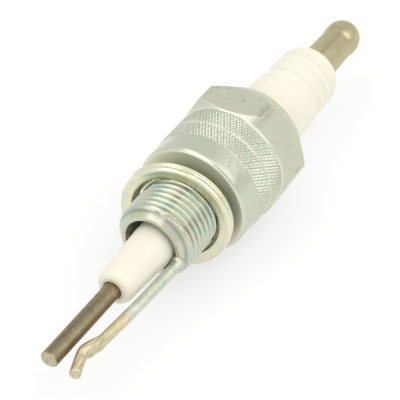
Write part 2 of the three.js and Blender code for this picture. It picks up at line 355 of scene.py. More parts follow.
def zinc(name, tint=0.35, base=(205, 209, 190), rough=0.36, grain=1.0, patches=0.5, shift=0.0, turned=0.0, seat=False):
    """Bright zinc plate with a clear chromate: grey-green metal, faint pink, yellow and green patches, fine grain."""
    m = Nodes(name)
    big = m.noise(0.28, 2.0, 0.5, at=m.scaled((1, 1, 1), (shift, 3.1 * shift, 1.7 * shift)))
    mid = m.noise(0.9, 3.0, 0.6, at=m.scaled((1, 1, 1), (7 + shift, 2, 5)))
    film = m.math("ADD", m.math("MULTIPLY", big, 0.7), m.math("MULTIPLY", mid, 0.3))
    iris = m.ramp(m.span(film, 0.34, 0.66, smooth=False), [
        (0.0, rgb(180, 208, 200)), (0.3, rgb(190, 208, 192)), (0.52, rgb(208, 209, 184)),
        (0.72, rgb(210, 203, 187)), (1.0, rgb(184, 206, 194))])
    body = rgb(*base)
    amount = tint
    if seat:        # the interference colours are strong on the thread and faint behind it
        amount = m.span(m.axial(), 11.0, 13.2, tint, 0.14)
    color = m.mix(amount, (*body, 1), iris)
    fine = m.noise(6.0, 4.0, 0.65)
    color = m.mix(m.span(fine, 0.3, 0.7, 0.0, 0.22 * grain), color, (body[0] * 0.72, body[1] * 0.74, body[2] * 0.72, 1))
    # handling marks: small dull grey spots and short bright rubs
    dist, _ = m.voronoi(0.55, at=m.scaled((1, 1, 1), (3.3 + shift, 9, 1)))
    spot = m.span(dist, 0.035, 0.075, 1.0, 0.0)
    color = m.mix(m.math("MULTIPLY", spot, 0.5 * patches), color, (*rgb(140, 142, 128), 1))
    rub = m.noise(1.3, 5.0, 0.7, at=m.scaled((0.5, 2.4, 1.1), (shift, 0, 4)))
    rubbed = m.span(rub, 0.60, 0.72)
    color = m.mix(m.math("MULTIPLY", rubbed, 0.35 * patches), color, (*rgb(226, 228, 214), 1))
    # painted shade in the thread roots and knurl grooves; on the hexagon the same attribute marks dull dents and
    # bruised corners
    deep = m.attr("deep")
    color = m.mix(m.math("MULTIPLY", deep, 0.75), color, (*rgb(138, 140, 120), 1))
    # painted highlight mixed with wear: lighter and smoother on crests, chamfer lines, rims and the rubbed band
    painted_highlight_and_wear = m.attr("highlight_and_wear")
    color = m.mix(m.math("MULTIPLY", painted_highlight_and_wear, 0.6), color, (*rgb(240, 240, 228), 1))
    r = m.math("ADD", m.span(mid, 0.3, 0.7, rough - 0.05, rough + 0.07), m.math("MULTIPLY", rubbed, -0.07 * patches))
    r = m.math("SUBTRACT", r, m.math("MULTIPLY", painted_highlight_and_wear, 0.1))
    r = m.math("ADD", r, m.math("MULTIPLY", spot, 0.12))
    n = m.bump(m.noise(9.0, 4.0, 0.6), 0.35 * grain, 0.012)
    n = m.bump(m.noise(1.1, 2.0, 0.5), 0.35, 0.03, n)
    if turned:
        wave = m.math("SINE", m.math("MULTIPLY", m.axial(), 2 * math.pi / 0.16))
        n = m.bump(wave, turned, 0.004, n)
    metal = 1.0
    if seat:        # the recess behind the gasket is matt, with painted shade: darker inside by the gasket, lighter towards the outer edge
        inside = m.math("MULTIPLY", m.span(m.axial(), 10.8, 11.4), m.span(m.radius(), 9.95, 9.7))
        depth = m.ramp(m.span(m.radius(), 6.5, 9.7, smooth=False), [(0.0, rgb(166, 169, 146)), (0.55, rgb(200, 203, 180)), (1.0, rgb(214, 217, 195))])
        color = m.mix(inside, color, depth)
        r = m.math("ADD", r, m.math("MULTIPLY", inside, 0.16))
        metal = m.math("SUBTRACT", 1.0, m.math("MULTIPLY", inside, 0.42))
    # inside the bore: thin grey-green coat, blotched
    bore = m.math("MULTIPLY", m.span(m.radius(), 5.0, 4.8), m.span(m.axial(), 0.05, 0.3)) if seat else None
    if seat:
        coat = m.ramp(m.span(m.noise(2.2, 4.0, 0.65, at=m.scaled((0.6, 1, 1), (3, 3, 3))), 0.36, 0.64, smooth=False), [(0.0, rgb(104, 112, 100)), (0.55, rgb(160, 172, 158)), (1.0, rgb(206, 214, 200))])
        color = m.mix(bore, color, coat)
        r = m.math("ADD", r, m.math("MULTIPLY", bore, 0.2))
        metal = m.math("SUBTRACT", metal, m.math("MULTIPLY", bore, 0.5))
    return m.surface(color, r, metal, n)


# ------------------------------------------------------------------------ shell
END_R = 5.46
THREAD_R, ROOT_R, PITCH = 6.95, 6.27, 1.25
SEAT_S, BODY_R = 13.15, 10.19
HEX_AF = 20.64


def thread_radius(s, psi):
    turn = (s - 0.77) / PITCH - psi / (2 * math.pi)
    u = turn - np.floor(turn)
    d = np.minimum(u, 1 - u) * PITCH
    h = soft_clamp((d - 0.12) / 0.393, 0.012)
    depth = THREAD_R - ROOT_R
    # the first turn is cut only part of the way round, then runs into the next one
    deg = np.degrees(psi) % 360
    first = (turn < 0.5)
    gone = step(deg, 96, 110) * (1 - step(deg, 318, 345))
    r = np.where(first & (gone > 0), (ROOT_R + depth * h) * (1 - gone) + gone * (THREAD_R - 0.10), ROOT_R + depth * h)
    slot_s = 1.06 + 0.85 * clamp((deg - 96) / 46)
    slot = np.maximum(1 - np.abs(s - slot_s) / 0.34, 0) * step(deg, 90, 100) * (1 - step(deg, 120, 150))
    r = r - 0.36 * slot
    lead = END_R + 0.87 * s + 0.02                       # chamfer at the end of the shell
    return soft_min(r, lead, 0.06)


def build_barrel():
    cols = 360
    thread_s = np.arange(0.10, 10.9, 0.084)
    outer = [(s, None) for s in thread_s]
    tail = rounded([(10.95, 6.3), (11.1, 6.1), (13.0, 6.1, 0.25), (SEAT_S, 6.3), (SEAT_S, 8.6), (SEAT_S, BODY_R - 0.55, 0.16),
                    (SEAT_S + 0.50, BODY_R, 0.07), (15.2, BODY_R), (16.6, BODY_R), (17.6, BODY_R)], 0.08, 4)
    inner = rounded([(17.6, BODY_R), (17.6, 7.62), (17.58, 7.6), (15.5, 5.2, 0.2), (9.2, 5.2, 0.2), (8.0, 4.2, 0.1), (6.0, 4.2, 0.1),
                     (5.5, 4.71, 0.1), (0.25, 4.71, 0.05), (0.02, 4.80, 0.03), (0.0, 4.95)], 0.06, 3)
    face = np.array([(0.0, 5.1), (0.0, 5.25), (0.0, 5.38), (0.012, 5.46), (0.05, 5.515)])
    rows_s = np.concatenate([thread_s, tail[:, 0], inner[1:, 0], face[:, 0]])
    rows_r = np.concatenate([np.full(len(thread_s), 6.9), tail[:, 1], inner[1:, 1], face[:, 1]])
    n_t, n_tail = len(thread_s), len(tail)
    psi = angles(cols)[None, :]
    s = rows_s[:, None] + 0 * psi
    r = rows_r[:, None] + 0 * psi
    st = s[:n_t]
    rt = thread_radius(st, psi)
    lump = smooth_noise((n_t, cols), (5, 7), 11)
    swell = smooth_noise((n_t, cols), (16, 40), 12)
    crest = clamp((rt - 6.6) / 0.35)
    rt = rt + 0.010 * lump * crest + 0.014 * swell * crest
    # the thread runs out before the seat
    out = step(st, 10.1, 10.9)
    rt = rt * (1 - out) + out * soft_min(rt, 6.35 + 0 * rt, 0.1)
    r[:n_t] = rt
    # the end face isn't dead flat: faint waviness and a dull outer edge
    wav = smooth_noise((len(rows_s), cols), (8, 30), 13)
    s[n_t + n_tail:] += np.where(rows_s[n_t + n_tail:, None] < 0.3, 0.012 * wav[n_t + n_tail:] + 0.012, 0)
    highlight_and_wear = np.zeros_like(r)
    # painted highlight on the thread crests, with some wear
    highlight_and_wear[:n_t] = clamp((rt - 6.80) / 0.13) * 0.45
    k = np.arange(len(rows_s))
    # painted highlight along the seat's chamfer and its outer edge
    seat_edge_highlight = 0.7 * np.exp(-((rows_s - (SEAT_S + 0.25)) / 0.2) ** 2) * (rows_r > 9.6) + 0.5 * np.exp(-((rows_s - SEAT_S) / 0.06) ** 2) * np.exp(-((rows_r - 9.66) / 0.14) ** 2)
    highlight_and_wear += np.where((k >= n_t) & (k < n_t + n_tail), seat_edge_highlight, 0)[:, None]
    # the upper side of the smooth band: partly rubbed by handling, partly painted highlight where the light falls
    rubbed = np.exp(-((np.degrees(psi) - 125) / 13) ** 2) * (0.30 + 0.10 * smooth_noise((1, cols), (1, 7), 14))
    highlight_and_wear += ((k >= n_t) & (k < n_t + n_tail) & (rows_s > SEAT_S + 0.6))[:, None] * rubbed
    P = to_row(s, r * np.cos(psi), r * np.sin(psi))
    deep = np.zeros_like(r)
    # painted shade in the thread roots
    deep[:n_t] = clamp((6.60 - rt) / 0.3) * 0.8 * step(st, 0.5, 0.9)
    o = mesh_from_grid("shell_barrel", P, True, 38, {"highlight_and_wear": clamp(highlight_and_wear), "deep": clamp(deep)})
    o.data.materials.append(zinc("zinc_thread", tint=0.75, base=(203, 206, 187), rough=0.22, grain=0.8, patches=0.3, shift=1.0, turned=0.12, seat=True))
    return o


TEETH = 108
KNURL_PITCH = 0.96      # cycles per millimetre along the axis


def knurl_height(s, psi):
    """0 at the deepest groove, 1 on top of a diamond."""
    a = TEETH * psi / (2 * math.pi) + KNURL_PITCH * (s - 21.35)
    b = TEETH * psi / (2 * math.pi) - KNURL_PITCH * (s - 21.35)
    out = []
    for x in (a, b):
        near = np.round(x)
        d = np.abs(x - near) * 2
        deep = np.where(np.mod(near, 2) == 0, 1.0, 0.84)
        out.append(1 - deep * (1 - soft_clamp(d * 1.1, 0.01)))
    return soft_min(out[0], out[1], 0.06)


def build_knurl():
    cols = 960
    body = np.arange(17.66, 25.001, 0.084)
    head = [(17.6, BODY_R)]
    tail = [(25.06, BODY_R + 0.0), (25.14, BODY_R), (25.22, BODY_R)]
    rows_s = np.concatenate([[p[0] for p in head], body, [p[0] for p in tail], [25.22, 22.0, 17.6]])
    rows_r = np.concatenate([[p[1] for p in head], np.full(len(body), BODY_R), [p[1] for p in tail], [7.62, 7.6, 7.62]])
    psi = angles(cols)[None, :]
    s = rows_s[:, None] + 0 * psi
    r = rows_r[:, None] + 0 * psi
    i0, i1 = len(head), len(head) + len(body)
    sb = s[i0:i1]
    ends = smooth_noise((1, cols), (1, 9), 21) * 0.10
    on = step(sb, 17.62 + ends, 18.0 + ends) * (1 - step(sb, 24.78, 25.0))
    ring = np.exp(-((sb - 21.35) / 0.20) ** 4)
    groove_side = np.exp(-((np.abs(sb - 21.35) - 0.36) / 0.12) ** 2)
    vary = 1 + 0.14 * smooth_noise(sb.shape, (14, 40), 22) + 0.06 * smooth_noise(sb.shape, (4, 10), 23)
    h = knurl_height(sb, psi)
    relief = (-0.07 * (1 - h) + 0.14 * h) * vary
    rb = BODY_R + on * (1 - ring) * relief + ring * 0.13 - groove_side * 0.05 * (1 - ring)
    rb = rb + 0.008 * smooth_noise(sb.shape, (5, 11), 24)
    r[i0:i1] = np.minimum(rb, 10.312)                     # the hexagon's flats stay the outermost
    highlight_and_wear = np.zeros_like(r)
    # painted highlight on the diamond tops, the middle ring and the rim by the hexagon, with some wear
    highlight_and_wear[i0:i1] = clamp(on * (h - 0.45) / 0.5) * 0.30 * (1 - ring) + ring * 0.8
    highlight_and_wear[i1:i1 + len(tail)] = 0.5
    deep = np.zeros_like(r)
    # painted shade in the knurl's grooves
    deep[i0:i1] = on * (1 - ring) * clamp((0.42 - h) / 0.42) * 0.25
    P = to_row(s, r * np.cos(psi), r * np.sin(psi))
    o = mesh_from_grid("shell_knurl", P, True, 26, {"highlight_and_wear": clamp(highlight_and_wear), "deep": clamp(deep)})
    o.data.materials.append(zinc("zinc_knurl", tint=0.18, base=(203, 207, 189), rough=0.31, grain=0.4, patches=0.2, shift=4.0))
    return o


DENTS = [  # s, psi in degrees, size, depth: wrench and handling marks on the flats and corners
    (28.9, 118.3, 0.34, 0.07), (29.6, 120.6, 0.30, 0.05), (28.4, 115.6, 0.40, 0.05), (27.0, 120.2, 0.34, 0.03), (27.9, 121.8, 0.26, 0.04),
    (26.45, 165.4, 0.26, 0.10), (26.75, 173.4, 0.30, 0.07), (27.1, 144.1, 0.22, 0.08), (30.9, 136.0, 0.24, 0.07), (29.4, 158.0, 0.30, 0.05),
    (30.3, 65.7, 0.45, 0.12), (30.9, 75.0, 0.40, 0.08), (30.2, 89.3, 0.24, 0.08), (31.2, 91.2, 0.22, 0.07), (29.0, 96.0, 0.5, 0.03), (28.2, 80.0, 0.3, 0.04),
    (28.4, 31.0, 0.40, 0.06), (30.1, 40.0, 0.35, 0.05), (27.9, 18.0, 0.45, 0.06), (28.0, 178.5, 0.4, 0.08), (29.3, 181.0, 0.35, 0.07),
    (29.3, 210.0, 0.5, 0.06), (27.8, 228.0, 0.4, 0.06), (28.6, 262.0, 0.4, 0.05), (29.1, 290.0, 0.45, 0.06), (28.2, 335.0, 0.5, 0.06), (29.7, 358.0, 0.35, 0.07),
]


def build_hex():
    cols = 672
    front = np.concatenate([[25.15, 25.19, 25.23, 25.27], np.arange(25.31, 27.0, 0.072)])
    middle = np.arange(27.0, 30.0, 0.12)
    rear = np.arange(30.0, 33.2, 0.085)
    lip = rounded([(33.2, 9.45), (33.7, 9.2, 0.3), (34.15, 8.95, 0.4), (34.55, 8.30, 0.5), (34.78, 7.4, 0.5), (34.72, 6.9, 0.3), (34.45, 6.62, 0.2), (34.0, 6.56)], 0.3, 4)
    inner = rounded([(34.0, 6.56), (33.7, 6.6, 0.1), (33.0, 7.6, 0.2), (28.0, 7.6), (25.2, 7.6, 0.05), (25.14, 8.2), (25.14, 9.6), (25.14, 10.1)], 0.08, 3)
    turned_r = np.interp(np.concatenate([front, middle, rear]),
                         [25.15, 25.34, 26.66, 30.1, 33.0, 33.2], [10.19, 10.20, 11.95, 11.95, 9.55, 9.45])
    turned_r = np.convolve(np.concatenate([[turned_r[0]] * 2, turned_r, [turned_r[-1]] * 2]), [0.1, 0.2, 0.4, 0.2, 0.1], "valid")
    rows_s = np.concatenate([front, middle, rear, lip[1:, 0], inner[1:, 0]])
    rows_r = np.concatenate([turned_r, lip[1:, 1], inner[1:, 1]])
    n_hex = len(turned_r)
    psi = angles(cols)[None, :]
    s = rows_s[:, None] + 0 * psi
    r = rows_r[:, None] + 0 * psi
    flats = np.stack([np.cos(psi - math.radians(30 + 60 * k)) for k in range(6)], 0)
    beta = 95.0
    best = np.log(np.exp(beta * (flats - 0.9)).sum(0)) / beta + 0.9
    hexr = HEX_AF / 2 / best
    flat = np.broadcast_to(hexr, (n_hex, cols)).copy()
    # the flats are a little uneven from rolling and plating
    flat -= 0.030 * (0.5 + 0.5 * smooth_noise((n_hex, cols), (22, 60), 31)) * 0.6
    deg = np.degrees(psi)
    dent_mark = np.zeros((n_hex, cols))
    for ds, dp, size, depth in DENTS:
        along = (s[:n_hex] - ds)
        across = ((deg - dp + 180) % 360 - 180) * math.pi / 180 * 10.6
        g = np.exp(-(along / size) ** 2 * 2 - (across / (size * 0.55)) ** 2 * 2)
        flat -= depth * g
        dent_mark = np.maximum(dent_mark, g)
    # corners bruised in places
    corner = step(hexr, 11.15, 11.75)
    side_corner = step(np.abs((deg - 120 + 180) % 360 - 180), 12, 20)        # the upper corner took the most knocks
    flat -= (0.05 * clamp(smooth_noise((n_hex, cols), (7, 5), 33)) + 0.03 * clamp(smooth_noise((n_hex, cols), (3, 3), 35))) * corner * (1 - 0.7 * side_corner)
    flat = np.minimum(flat, hexr - 0.006)
    turn = r[:n_hex].copy()
    r[:n_hex] = np.minimum(soft_min(flat, turn, 0.10 - 0.085 * step(deg, 114, 122) * (1 - step(deg, 172, 180))), 11.91)
    # crimped lip: faint ripples left by the closing tool
    lipzone = step(s, 32.6, 34.0) * (np.arange(len(rows_s))[:, None] < n_hex + len(lip) - 1)
    r += lipzone * 0.012 * smooth_noise(r.shape, (10, 14), 34)
    highlight_and_wear = np.zeros_like(r)
    gap = np.abs(flat - turn)
    worn = 0.5 + 0.5 * smooth_noise((n_hex, cols), (8, 18), 36)
    rear_edge = step(s[:n_hex], 29.5, 30.5)
    merged = step(deg, 114, 122) * (1 - step(deg, 172, 180)) * (1 - rear_edge)      # here the chamfer runs into the flat without a line
    # painted highlight: bright lines at the knurl's edge, the rear chamfer and the flats' edges, with some wear
    highlight_and_wear[:n_hex] = np.exp(-(gap / 0.08) ** 2) * (0.10 * (1 - merged) + 0.45 * rear_edge) * worn + np.exp(-((s[:n_hex] - 25.34) / 0.13) ** 2) * 1.0
    # painted highlight on the front cone, on one side only
    cone = (turn < flat - 0.03) & (s[:n_hex] < 28)
    highlight_and_wear[:n_hex] += cone * 0.34 * (1 - step(deg, 112, 120))
    tone = np.zeros_like(r)
    tone[:n_hex] = clamp(dent_mark * 1.3 + 0.25 * corner * (turn > flat) * worn + 0.45 * corner * (1 - side_corner) * (1 - rear_edge))
    P = to_row(s, r * np.cos(psi), r * np.sin(psi))
    o = mesh_from_grid("shell_hexagon", P, True, 50, {"highlight_and_wear": clamp(highlight_and_wear), "deep": tone * 0.7})
    o.data.materials.append(zinc("zinc_hexagon", tint=0.26, base=(210, 211, 190), rough=0.34, grain=1.1, patches=0.8, shift=9.0))
    return o


barrel, knurl, hexagon = build_barrel(), build_knurl(), build_hex()
for o in (barrel, knurl, hexagon):
    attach(o, "plug")
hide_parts("shell")

# ----------------------------------------------------------------------- gasket
GASKET_S, GASKET_LEAN, LEAN_ANGLE, GASKET_OFF = 8.85, 9.3, 354.0, (0.24, 0.17)
GASKET_HALF = 1.08


def build_gasket():
    cols = 432
    H = GASKET_HALF
    # folded sheet: a flat front face, a rolled front edge, a fold, a second roll and the thin back sheet
    loop = spline([
        (-H + 0.10, 7.74), (-H + 0.05, 7.95), (-H + 0.035, 8.35), (-H + 0.03, 8.68), (-H + 0.00, 8.92), (-H + 0.03, 9.14), (-H + 0.16, 9.33), (-H + 0.36, 9.45), (-H + 0.58, 9.46),
        (-H + 0.76, 9.36), (-H + 0.86, 9.20), (-H + 0.93, 9.10), (-H + 1.00, 9.21), (-H + 1.10, 9.37), (-H + 1.26, 9.45), (-H + 1.42, 9.41),
        (-H + 1.52, 9.30), (-H + 1.575, 9.24), (-H + 1.63, 9.31), (-H + 1.75, 9.42), (-H + 1.92, 9.40), (-H + 2.06, 9.25), (-H + 2.14, 9.0),
        (-H + 2.15, 8.7), (-H + 2.16, 8.2), (-H + 2.16, 7.80), (-H + 2.10, 7.52), (-H + 1.90, 7.44), (-H + 1.50, 7.47), (-H + 1.10, 7.53), (-H + 0.70, 7.58),
        (-H + 0.36, 7.62), (-H + 0.18, 7.66), (-H + 0.10, 7.74)], 3)[:-1]
    n = len(loop)
    psi = angles(cols)[None, :]
    s = loop[:, :1] + 0 * psi
    r = loop[:, 1:] + 0 * psi
    outer = step(r, 9.0, 9.3)
    # rolled by hand-fed tooling: slow waviness in the fold and the face, and one short tear at the seam
    slow = smooth_noise((1, cols), (1, 60), 41)
    quick = smooth_noise((1, cols), (1, 14), 42)
    s = s + 0.030 * slow * (1 - 0.6 * step(s, 0.6, 1.0)) + 0.014 * quick * outer
    fold = np.exp(-((loop[:, :1] - (-H + 0.93)) / 0.10) ** 2) * (loop[:, 1:] > 8.6)
    fold2 = np.exp(-((loop[:, :1] - (-H + 1.575)) / 0.08) ** 2) * (loop[:, 1:] > 8.6)
    r = r - fold * 0.05 * (1 + quick) + fold2 * (0.10 * step(slow, 0.1, 0.8) - 0.02)
    deg = np.degrees(psi)
    notch = np.exp(-(((deg - 113 + 180) % 360 - 180) / 1.5) ** 2)
    second = np.exp(-((loop[:, :1] - (-H + 1.22)) / 0.22) ** 2) * (loop[:, 1:] > 8.8)
    r = r - 0.22 * notch * second
    r = r + 0.010 * smooth_noise((n, cols), (5, 16), 43)
    r = r + 0.24 * step(r, 8.6, 9.2)                      # the rolls stand out past the flat faces
    inside = (loop[:, 1:] < 8.0) * step(loop[:, :1], -H + 0.5, -H + 1.4)
    r = r - 0.42 * inside * clamp(np.cos(psi - math.radians(48))) ** 0.7
    # lean: the ring's own axis leaves the plug's axis
    lean, la = math.radians(GASKET_LEAN), math.radians(LEAN_ANGLE)
    axis = np.array([math.cos(lean), math.sin(lean) * math.cos(la), math.sin(lean) * math.sin(la)])
    x = np.array([1.0, 0, 0])
    v = np.cross(x, axis)
    c = float(x @ axis)
    K = np.array([[0, -v[2], v[1]], [v[2], 0, -v[0]], [-v[1], v[0], 0]])
    R = np.eye(3) + K + K @ K / (1 + c)
    local = np.stack([s, r * np.cos(psi), r * np.sin(psi)], -1) @ R.T
    P = to_row(local[..., 0] + GASKET_S, local[..., 1] + GASKET_OFF[0], local[..., 2] + GASKET_OFF[1])
    highlight_and_wear = np.zeros_like(r)
    # painted highlight on the tops of the rolls and on the face's inner edge, with some wear
    highlight_and_wear += (np.exp(-((loop[:, :1] - (-H + 0.34)) / 0.2) ** 2) + 0.8 * np.exp(-((loop[:, :1] - (-H + 1.24)) / 0.12) ** 2)) * (loop[:, 1:] > 9.2)
    highlight_and_wear += 0.40 * (loop[:, 1:] < 9.05) * (loop[:, :1] < -H + 0.09)
    o = mesh_from_grid("gasket_folded", P, True, 60, {"highlight_and_wear": clamp(highlight_and_wear)})
    m = Nodes("gasket_plate")
    big = m.noise(0.35, 2.0, 0.5, at=m.scaled((1, 1, 1), (12, 3, 8)))
    iris = m.ramp(m.span(big, 0.35, 0.65, smooth=False), [(0.0, rgb(216, 219, 198)), (0.4, rgb(229, 226, 194)), (0.7, rgb(232, 225, 188)), (1.0, rgb(214, 221, 205))])
    fine = m.noise(5.0, 4.0, 0.6)
    color = m.mix(m.span(fine, 0.3, 0.75, 0, 0.18), iris, (*rgb(170, 172, 150), 1))
    painted_highlight_and_wear = m.attr("highlight_and_wear")
    # painted highlight mixed with wear: lighter where the attribute is set
    color = m.mix(m.math("MULTIPLY", painted_highlight_and_wear, 0.6), color, (*rgb(244, 244, 232), 1))
    rough = m.math("SUBTRACT", m.span(m.noise(1.2, 3, 0.5), 0.3, 0.7, 0.26, 0.38), m.math("MULTIPLY", painted_highlight_and_wear, 0.08))
    nb = m.bump(m.noise(7.0, 3.0, 0.6), 0.3, 0.012)
    nb = m.bump(m.noise(0.9, 2.0, 0.5), 0.4, 0.03, nb)
    o.data.materials.append(m.surface(color, rough, 1.0, nb))
    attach(o, "gasket")
    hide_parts("sealing_gasket")
    return o


build_gasket()


# ---------------------------------------------------------------------- ceramic
def build_ceramic():
    cols = 224
    nose = rounded([(-12.2, 1.60), (-12.2, 2.35, 0.05), (-11.95, 2.85, 0.15), (-11.3, 3.20, 0.5), (-8.0, 3.33), (-4.0, 3.54), (0.0, 3.79), (4.0, 3.82),
                    (9.03, 3.84, 0.3), (10.3, 4.75, 0.3), (16.0, 4.75, 0.4), (18.3, 7.1, 0.3), (21.0, 7.1), (25.0, 7.1, 0.2), (25.4, 6.9, 0.1), (25.4, 6.12, 0.1), (30.0, 6.09), (35.0, 6.07)], 0.1, 4)
    upper = spline([(35.0, 6.07), (37.0, 6.08), (39.5, 6.11), (41.5, 6.14), (42.8, 6.11), (43.8, 6.03), (45.0, 5.80), (45.6, 5.62), (46.2, 5.64), (47.3, 5.74), (48.4, 5.56),
                    (49.4, 5.68), (50.5, 5.50), (51.6, 5.57), (52.5, 5.42), (53.3, 5.12), (53.9, 4.68), (54.33, 4.1), (54.55, 3.45)], 5)
    bore = rounded([(54.55, 3.45), (54.6, 2.9, 0.1), (54.55, 2.5, 0.1), (54.3, 2.35, 0.1), (40, 2.35), (15.9, 2.35, 0.1), (15.9, 1.80, 0.05), (0, 1.80), (-9.0, 1.78), (-10.5, 1.58, 0.1), (-12.05, 1.56, 0.05), (-12.17, 1.58)], 0.05, 3)
    prof = np.concatenate([nose, upper[1:], bore[1:]])
    n = len(prof)
    out = (np.arange(n) < len(nose) + len(upper) - 1)[:, None]
    wave = smooth_noise((n, cols), (14, 60), 51) * 0.008
    o = lathe("ceramic_body", prof, cols, True, (CORE_Y, CORE_Z), wave * out, None, 35)
    m = Nodes("ceramic_glaze")
    s = m.axial()
    speck_d, _ = m.voronoi(0.5, at=m.scaled((1, 1, 1), (2, 5, 7)))
    speck = m.span(speck_d, 0.02, 0.045, 1, 0)
    cloud = m.noise(0.22, 3.0, 0.5)
    color = m.ramp(m.span(cloud, 0.3, 0.7, smooth=False), [(0.0, rgb(226, 222, 204)), (0.5, rgb(228, 224, 207)), (1.0, rgb(230, 227, 211))])
    # unglazed nose is a touch warmer, with a faint brown stain where the rod leaves it
    nose_in = m.span(s, -1.0, -6.0)
    color = m.mix(m.math("MULTIPLY", nose_in, 0.6), color, (*rgb(227, 223, 205), 1))
    from_axis = m.radius(CORE_Y + 0.158 * LEAN_Y, AXIS_Z + CORE_Z + 0.158 * LEAN_Z)
    tip = m.math("MULTIPLY", m.span(s, -11.6, -12.2), m.span(from_axis, 2.6, 1.8))
    color = m.mix(m.math("MULTIPLY", tip, 0.15), color, (*rgb(206, 190, 150), 1))
    color = m.mix(m.span(from_axis, 1.84, 1.66), color, (*rgb(150, 122, 74), 1))     # stained bore
    color = m.mix(m.math("MULTIPLY", speck, 0.05), color, (*rgb(208, 198, 170), 1))
    grey = m.noise(0.7, 3.0, 0.5, at=m.scaled((0.8, 1.2, 1.2), (1, 8, 3)))
    color = m.mix(m.span(grey, 0.52, 0.72, 0, 0.03), color, (*rgb(222, 216, 196), 1))
    # the hollows between the ribs hold a little more shade
    hollow = m.ramp(m.span(s, 44.6, 52.6, smooth=False), [(0.0, (0, 0, 0)), (0.12, (1, 1, 1)), (0.24, (0, 0, 0)), (0.35, (0, 0, 0)), (0.475, (1, 1, 1)), (0.59, (0, 0, 0)), (0.64, (0, 0, 0)), (0.74, (0.8, 0.8, 0.8)), (0.86, (0, 0, 0))])
    color = m.mix(m.math("MULTIPLY", hollow, 0.20), color, (*rgb(208, 203, 174), 1))
    rough = m.math("ADD", m.span(m.noise(1.4, 3.0, 0.5), 0.3, 0.7, 0.26, 0.34), m.math("MULTIPLY", nose_in, 0.14))
    nb = m.bump(m.noise(0.5, 2.0, 0.5), 0.04, 0.02)
    o.data.materials.append(m.surface(color, rough, 0.0, nb, Specular_IOR_Level=0.35, Subsurface_Weight=0.35, Subsurface_Scale=0.0015, Subsurface_Radius=(1.0, 0.8, 0.55)))
    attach(o, "plug")
    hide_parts("insulator")
    return o


build_ceramic()


